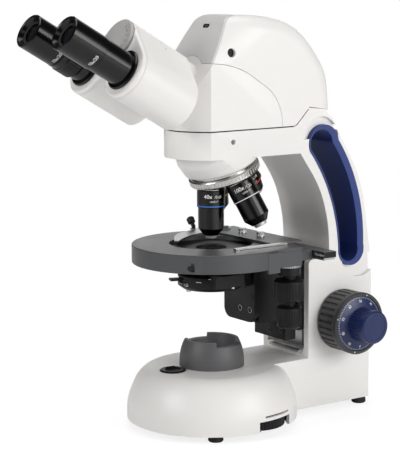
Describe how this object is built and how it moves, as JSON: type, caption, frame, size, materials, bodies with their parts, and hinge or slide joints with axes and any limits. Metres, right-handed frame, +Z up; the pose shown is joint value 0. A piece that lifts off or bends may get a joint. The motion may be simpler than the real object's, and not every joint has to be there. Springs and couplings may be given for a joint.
{
  "type": "digital microscope",
  "caption": "Bench microscope with tilted twin eyepieces, a built-in camera housing, a turning nosepiece, a round stage with slide carriage and a lamp in the base.",
  "frame": {"origin": "centre of the footprint of the whole microscope, on the table under its feet", "axes": "+Z up, +Y away from the user towards the column, +X to the user's right, the side with the stage knobs"},
  "size_m": [0.1586, 0.3131, 0.3478],
  "materials": {
    "body_paint": "fine satin white paint",
    "light_grey": "light grey moulded cover",
    "grip": "dark blue grip lining",
    "stage_paint": "fine grey texture paint",
    "black_metal": "matt black",
    "black_plastic": "moulded black",
    "navy_plastic": "moulded navy blue",
    "steel": "turned or ground steel",
    "bright_metal": "satin chrome",
    "base_sheet": "grey sheet steel",
    "board": "circuit board",
    "lamp_parts": "plain aluminium",
    "feet": "black rubber",
    "lens_glass": "clear glass",
    "diffuser": "frosted glass"
  },
  "bodies": {
    "stand": {"base_shell": "body_paint", "base_plate": "base_sheet", "rubber_feet": "feet", "power_inlet": "black_plastic", "power_board": "board", "switch_bezel": "black_plastic", "lamp_house": "stage_paint", "lamp_lens": "diffuser", "lamp_module": "lamp_parts", "arm": "body_paint", "handle_lining": "grip", "focus_rail": "steel", "head_clamp_screw": "steel", "nosepiece_seat": "steel", "head_base": "body_paint", "camera_housing": "body_paint", "front_cover": "light_grey", "hinge_hub": "steel", "spacing_disc": "light_grey"},
    "rocker": {"switch_rocker": "black_plastic"},
    "wheel": {"brightness_wheel": "black_plastic"},
    "coarse": {"coarse_knob_left": "black_plastic", "coarse_knob_right": "black_plastic", "coarse_tube": "steel"},
    "fine": {"fine_knob_left": "navy_plastic", "fine_knob_right": "navy_plastic", "fine_shaft": "steel"},
    "stage": {"focus_slide": "black_metal", "stage_bracket": "black_metal", "stage_plate": "stage_paint", "stage_insert": "black_metal"},
    "carriage": {"carriage_plate": "stage_paint", "cross_bar": "stage_paint"},
    "y_control": {"y_knob": "black_plastic"},
    "x_control": {"x_knob": "black_plastic"},
    "holder": {"slide_holder": "stage_paint", "thumb_screws": "steel", "cross_rack": "steel"},
    "finger": {"holder_finger": "steel", "finger_knob": "black_plastic"},
    "condenser": {"condenser_carrier": "black_metal", "condenser_body": "black_metal", "condenser_lens": "lens_glass"},
    "condenser_control": {"condenser_knob": "black_plastic"},
    "iris": {"iris_ring": "black_metal"},
    "nosepiece": {"nosepiece_ring": "bright_metal", "objective_40": "black_metal", "objective_100": "black_metal", "objective_4": "black_metal", "objective_10": "black_metal", "objective_tips": "bright_metal"},
    "right_ocular": {"prism_housing_right": "body_paint", "eye_tube_right": "black_metal", "eyepiece_right": "black_metal", "eye_lens_right": "lens_glass"},
    "left_ocular": {"prism_housing_left": "body_paint", "eye_tube_left": "black_metal", "eyepiece_left": "black_metal", "eye_lens_left": "lens_glass"},
    "diopter": {"diopter_ring": "black_metal"}
  },
  "joints": [
    {"name": "switch_press", "type": "hinge", "parent": "stand", "child": "rocker", "pos_m": [0, -0.0334, 0.05], "axis": [0, 1, 0], "range_deg": [-24, 0]},
    {"name": "brightness_turn", "type": "hinge", "parent": "stand", "child": "wheel", "pos_m": [0.04308, 0.01774, 0.0104], "axis": [0, 0, 1], "range_deg": [-135, 135]},
    {"name": "coarse_turn", "type": "hinge", "parent": "stand", "child": "coarse", "pos_m": [0, 0.1214, 0.0806], "axis": [1, 0, 0], "range_deg": [-143.3, 21.1]},
    {"name": "fine_turn", "type": "hinge", "parent": "coarse", "child": "fine", "pos_m": [0, 0.1214, 0.0806], "axis": [1, 0, 0], "continuous": true},
    {"name": "stage_lift", "type": "slide", "parent": "stand", "child": "stage", "axis": [0, 0, 1], "range_m": [-0.015, 0.0022]},
    {"name": "stage_y", "type": "slide", "parent": "stage", "child": "carriage", "axis": [0, 1, 0], "range_m": [-0.018, 0.0015]},
    {"name": "y_turn", "type": "hinge", "parent": "carriage", "child": "y_control", "pos_m": [0.0506, 0.0506, 0.1175], "axis": [0, 0, 1], "range_deg": [-187.6, 15.7]},
    {"name": "stage_x", "type": "slide", "parent": "carriage", "child": "holder", "axis": [1, 0, 0], "range_m": [-0.018, 0.018]},
    {"name": "x_turn", "type": "hinge", "parent": "carriage", "child": "x_control", "pos_m": [0.0506, 0.0506, 0.0945], "axis": [0, 0, 1], "range_deg": [-172, 172]},
    {"name": "finger_swing", "type": "hinge", "parent": "holder", "child": "finger", "pos_m": [-0.043, 0.0524, 0.1574], "axis": [0, 0, 1], "range_deg": [-25, 0], "stiffness_Nm_per_rad": 0.02},
    {"name": "condenser_lift", "type": "slide", "parent": "stage", "child": "condenser", "axis": [0, 0, 1], "range_m": [-0.015, 0]},
    {"name": "condenser_turn", "type": "hinge", "parent": "stage", "child": "condenser_control", "pos_m": [-0.03, 0.0496, 0.1125], "axis": [1, 0, 0], "range_deg": [-143.3, 0]},
    {"name": "iris_turn", "type": "hinge", "parent": "condenser", "child": "iris", "pos_m": [0, 0.0066, 0.125], "axis": [0, 0, 1], "range_deg": [-20, 20]},
    {"name": "nosepiece_turn", "type": "hinge", "parent": "stand", "child": "nosepiece", "pos_m": [0, 0.02295, 0.20635], "axis": [0, -0.342, 0.9397], "continuous": true},
    {"name": "right_ocular_swing", "type": "hinge", "parent": "stand", "child": "right_ocular", "pos_m": [0, -0.03095, 0.29608], "axis": [0, -0.866, 0.5], "range_deg": [0, 22.5]},
    {"name": "left_ocular_swing", "type": "hinge", "parent": "stand", "child": "left_ocular", "pos_m": [0, -0.03095, 0.29608], "axis": [0, -0.866, 0.5], "range_deg": [-22.5, 0]},
    {"name": "diopter_turn", "type": "hinge", "parent": "left_ocular", "child": "diopter", "pos_m": [-0.0277, -0.11263, 0.3146], "axis": [0, -0.866, 0.5], "range_deg": [-150, 150]}
  ],
  "couplings": [
    {"joint": "coarse_turn", "follows": "stage_lift", "rad_per_m": 166.67},
    {"joint": "y_turn", "follows": "stage_y", "rad_per_m": 181.82},
    {"joint": "x_turn", "follows": "stage_x", "rad_per_m": 166.67},
    {"joint": "condenser_turn", "follows": "condenser_lift", "rad_per_m": 166.67},
    {"joint": "left_ocular_swing", "follows": "right_ocular_swing", "ratio": -1}
  ]
}
